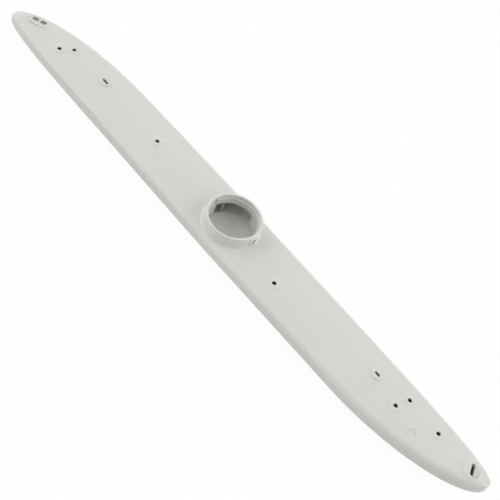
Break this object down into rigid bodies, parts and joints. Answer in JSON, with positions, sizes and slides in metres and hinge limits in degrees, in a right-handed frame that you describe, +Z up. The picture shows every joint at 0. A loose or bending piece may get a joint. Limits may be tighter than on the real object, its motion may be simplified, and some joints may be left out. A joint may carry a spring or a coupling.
{
  "type": "dishwasher spray arm",
  "caption": "Long hollow dishwasher spray arm with swept tips, a round hub collar in the middle and spray jets set in its top face.",
  "frame": {"origin": "on the spin axis, at the flat keel that the arm lies on", "axes": "+X along the arm towards the end with the round end jet, +Z up along the spin axis, out of the collar's mouth"},
  "size_m": [0.4832, 0.0502, 0.0256],
  "materials": {
    "polypropylene": "moulded, fine matt grain"
  },
  "bodies": {
    "root": {"upper_shell": "polypropylene", "lower_shell": "polypropylene"}
  },
  "joints": []
}
